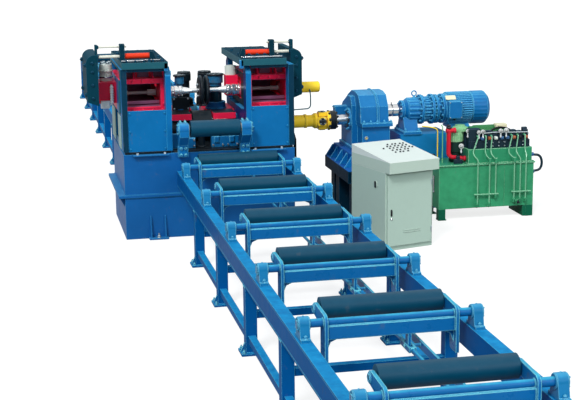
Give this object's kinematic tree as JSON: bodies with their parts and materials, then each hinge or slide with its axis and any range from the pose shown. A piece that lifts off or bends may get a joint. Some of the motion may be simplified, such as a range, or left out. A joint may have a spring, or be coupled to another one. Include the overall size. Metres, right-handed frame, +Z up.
{
  "type": "beam straightening machine",
  "caption": "Beam straightening machine with two press towers, a lifting roller table, a rear table, a shaft drive, a hydraulic power pack and a control console.",
  "frame": {"origin": "on the floor under the main roll's axis, midway between the two towers", "axes": "+X towards the drive side, +Y along the feed away from the lifting table's open end, +Z up"},
  "size_m": [4.282, 16.74, 1.782],
  "materials": {
    "blue_paint": "glossy machine enamel",
    "dark_paint": "dark satin paint",
    "roller_steel": "dark slate satin",
    "red_paint": "bright red enamel",
    "yellow_paint": "yellow enamel",
    "pale_grey_paint": "pale grey satin",
    "green_paint": "green enamel, slightly worn",
    "pump_green_paint": "pale green enamel",
    "navy_paint": "dark blue satin",
    "console_paint": "pale grey-green powder coat",
    "chrome_steel": "hard-chromed, bright"
  },
  "bodies": {
    "machine": {"base": "blue_paint", "towers": "blue_paint", "gear_reducer": "blue_paint", "cycloid_reducer": "blue_paint", "drive_motor": "blue_paint", "table_rails": "blue_paint", "table_legs": "blue_paint", "table_ties": "blue_paint", "pillow_blocks": "blue_paint", "rear_rockers": "blue_paint", "entry_posts": "blue_paint", "caps": "dark_paint", "pedestal": "dark_paint", "rear_rollers": "roller_steel", "shift_cylinders": "red_paint", "guide_arms": "red_paint", "console_body": "console_paint", "console_lid": "console_paint", "tank_shell": "green_paint", "tank_ends": "green_paint", "tank_legs": "green_paint", "tank_cover": "green_paint", "valve_manifold": "navy_paint", "pump_units": "pump_green_paint"},
    "left_carriage": {"carriage_left": "red_paint", "yoke_left": "dark_paint", "press_cylinder": "pale_grey_paint"},
    "right_carriage": {"carriage_right": "red_paint", "yoke_right": "dark_paint", "end_cylinder": "yellow_paint", "inner_cylinder": "pale_grey_paint"},
    "left_spindle": {"spindle_left": "chrome_steel"},
    "right_spindle": {"spindle_right": "chrome_steel"},
    "left_press_wheel": {"press_wheel_left": "dark_paint"},
    "right_press_wheel": {"press_wheel_right": "dark_paint"},
    "front_left_guide": {"guide_roller_front_left": "roller_steel"},
    "front_right_guide": {"guide_roller_front_right": "roller_steel"},
    "rear_left_guide": {"guide_roller_rear_left": "roller_steel"},
    "rear_right_guide": {"guide_roller_rear_right": "roller_steel"},
    "drive_line": {"main_roll": "dark_paint", "cardan_shaft": "yellow_paint"},
    "coupling": {"input_coupling": "chrome_steel"},
    "entry_roll": {"entry_roller": "roller_steel"},
    "door": {"console_door": "console_paint"},
    "link": {"link_rod": "blue_paint"},
    "lift_1": {"rocker_1": "blue_paint"},
    "roller_1": {"table_roller_1": "roller_steel"},
    "lift_2": {"rocker_2": "blue_paint"},
    "roller_2": {"table_roller_2": "roller_steel"},
    "lift_3": {"rocker_3": "blue_paint"},
    "roller_3": {"table_roller_3": "roller_steel"},
    "lift_4": {"rocker_4": "blue_paint"},
    "roller_4": {"table_roller_4": "roller_steel"},
    "lift_5": {"rocker_5": "blue_paint"},
    "roller_5": {"table_roller_5": "roller_steel"},
    "lift_6": {"rocker_6": "blue_paint"},
    "roller_6": {"table_roller_6": "roller_steel"}
  },
  "joints": [
    {"name": "left_shift", "type": "slide", "parent": "machine", "child": "left_carriage", "axis": [-1, 0, 0], "range_m": [0, 0.06]},
    {"name": "right_shift", "type": "slide", "parent": "machine", "child": "right_carriage", "axis": [1, 0, 0], "range_m": [0, 0.06]},
    {"name": "left_press", "type": "slide", "parent": "left_carriage", "child": "left_spindle", "axis": [0, 0, 1], "range_m": [-0.02, 0.05]},
    {"name": "right_press", "type": "slide", "parent": "right_carriage", "child": "right_spindle", "axis": [0, 0, 1], "range_m": [-0.02, 0.05]},
    {"name": "left_wheel_spin", "type": "hinge", "parent": "left_spindle", "child": "left_press_wheel", "pos_m": [0.003, 0, 1.285], "axis": [1, 0, 0], "continuous": true},
    {"name": "right_wheel_spin", "type": "hinge", "parent": "right_spindle", "child": "right_press_wheel", "pos_m": [0.057, 0, 1.285], "axis": [1, 0, 0], "continuous": true},
    {"name": "front_left_guide_spin", "type": "hinge", "parent": "machine", "child": "front_left_guide", "pos_m": [-0.172, 0.2, 1.2], "axis": [0, 0, 1], "continuous": true},
    {"name": "front_right_guide_spin", "type": "hinge", "parent": "machine", "child": "front_right_guide", "pos_m": [0.178, 0.2, 1.2], "axis": [0, 0, 1], "continuous": true},
    {"name": "rear_left_guide_spin", "type": "hinge", "parent": "machine", "child": "rear_left_guide", "pos_m": [-0.093, 0.45, 1.2], "axis": [0, 0, 1], "continuous": true},
    {"name": "rear_right_guide_spin", "type": "hinge", "parent": "machine", "child": "rear_right_guide", "pos_m": [0.11, 0.45, 1.2], "axis": [0, 0, 1], "continuous": true},
    {"name": "main_drive", "type": "hinge", "parent": "machine", "child": "drive_line", "pos_m": [0, 0, 0.945], "axis": [1, 0, 0], "continuous": true},
    {"name": "input_spin", "type": "hinge", "parent": "machine", "child": "coupling", "pos_m": [1.9, 0, 1.015], "axis": [1, 0, 0], "continuous": true},
    {"name": "entry_roller_spin", "type": "hinge", "parent": "machine", "child": "entry_roll", "pos_m": [0.034, -0.66, 1.022], "axis": [1, 0, 0], "continuous": true},
    {"name": "table_lift", "type": "hinge", "parent": "machine", "child": "lift_1", "pos_m": [0.235, -0.89, 0.71], "axis": [1, 0, 0], "range_deg": [0, 45]},
    {"name": "table_lift_2", "type": "hinge", "parent": "machine", "child": "lift_2", "pos_m": [0.235, -2.09, 0.71], "axis": [1, 0, 0], "range_deg": [0, 45]},
    {"name": "table_lift_3", "type": "hinge", "parent": "machine", "child": "lift_3", "pos_m": [0.235, -3.29, 0.71], "axis": [1, 0, 0], "range_deg": [0, 45]},
    {"name": "table_lift_4", "type": "hinge", "parent": "machine", "child": "lift_4", "pos_m": [0.235, -4.49, 0.71], "axis": [1, 0, 0], "range_deg": [0, 45]},
    {"name": "table_lift_5", "type": "hinge", "parent": "machine", "child": "lift_5", "pos_m": [0.235, -5.69, 0.71], "axis": [1, 0, 0], "range_deg": [0, 45]},
    {"name": "table_lift_6", "type": "hinge", "parent": "machine", "child": "lift_6", "pos_m": [0.235, -6.89, 0.71], "axis": [1, 0, 0], "range_deg": [0, 45]},
    {"name": "table_roller_spin_1", "type": "hinge", "parent": "lift_1", "child": "roller_1", "pos_m": [0.235, -0.678, 0.728], "axis": [1, 0, 0], "continuous": true},
    {"name": "table_roller_spin_2", "type": "hinge", "parent": "lift_2", "child": "roller_2", "pos_m": [0.235, -1.878, 0.728], "axis": [1, 0, 0], "continuous": true},
    {"name": "table_roller_spin_3", "type": "hinge", "parent": "lift_3", "child": "roller_3", "pos_m": [0.235, -3.078, 0.728], "axis": [1, 0, 0], "continuous": true},
    {"name": "table_roller_spin_4", "type": "hinge", "parent": "lift_4", "child": "roller_4", "pos_m": [0.235, -4.278, 0.728], "axis": [1, 0, 0], "continuous": true},
    {"name": "table_roller_spin_5", "type": "hinge", "parent": "lift_5", "child": "roller_5", "pos_m": [0.235, -5.478, 0.728], "axis": [1, 0, 0], "continuous": true},
    {"name": "table_roller_spin_6", "type": "hinge", "parent": "lift_6", "child": "roller_6", "pos_m": [0.235, -6.678, 0.728], "axis": [1, 0, 0], "continuous": true},
    {"name": "link_swing", "type": "hinge", "parent": "lift_1", "child": "link", "pos_m": [0.34, -0.89, 0.535], "axis": [1, 0, 0], "range_deg": [-45, 0]},
    {"name": "console_door_hinge", "type": "hinge", "parent": "machine", "child": "door", "pos_m": [1.844, -1.46372, 0.36], "axis": [0, 0, 1], "range_deg": [0, 110]}
  ],
  "couplings": [
    {"joint": "table_lift_2", "follows": "table_lift", "ratio": 1},
    {"joint": "table_lift_3", "follows": "table_lift", "ratio": 1},
    {"joint": "table_lift_4", "follows": "table_lift", "ratio": 1},
    {"joint": "table_lift_5", "follows": "table_lift", "ratio": 1},
    {"joint": "table_lift_6", "follows": "table_lift", "ratio": 1},
    {"joint": "link_swing", "follows": "table_lift", "ratio": -1},
    {"joint": "input_spin", "follows": "main_drive", "ratio": -4}
  ]
}
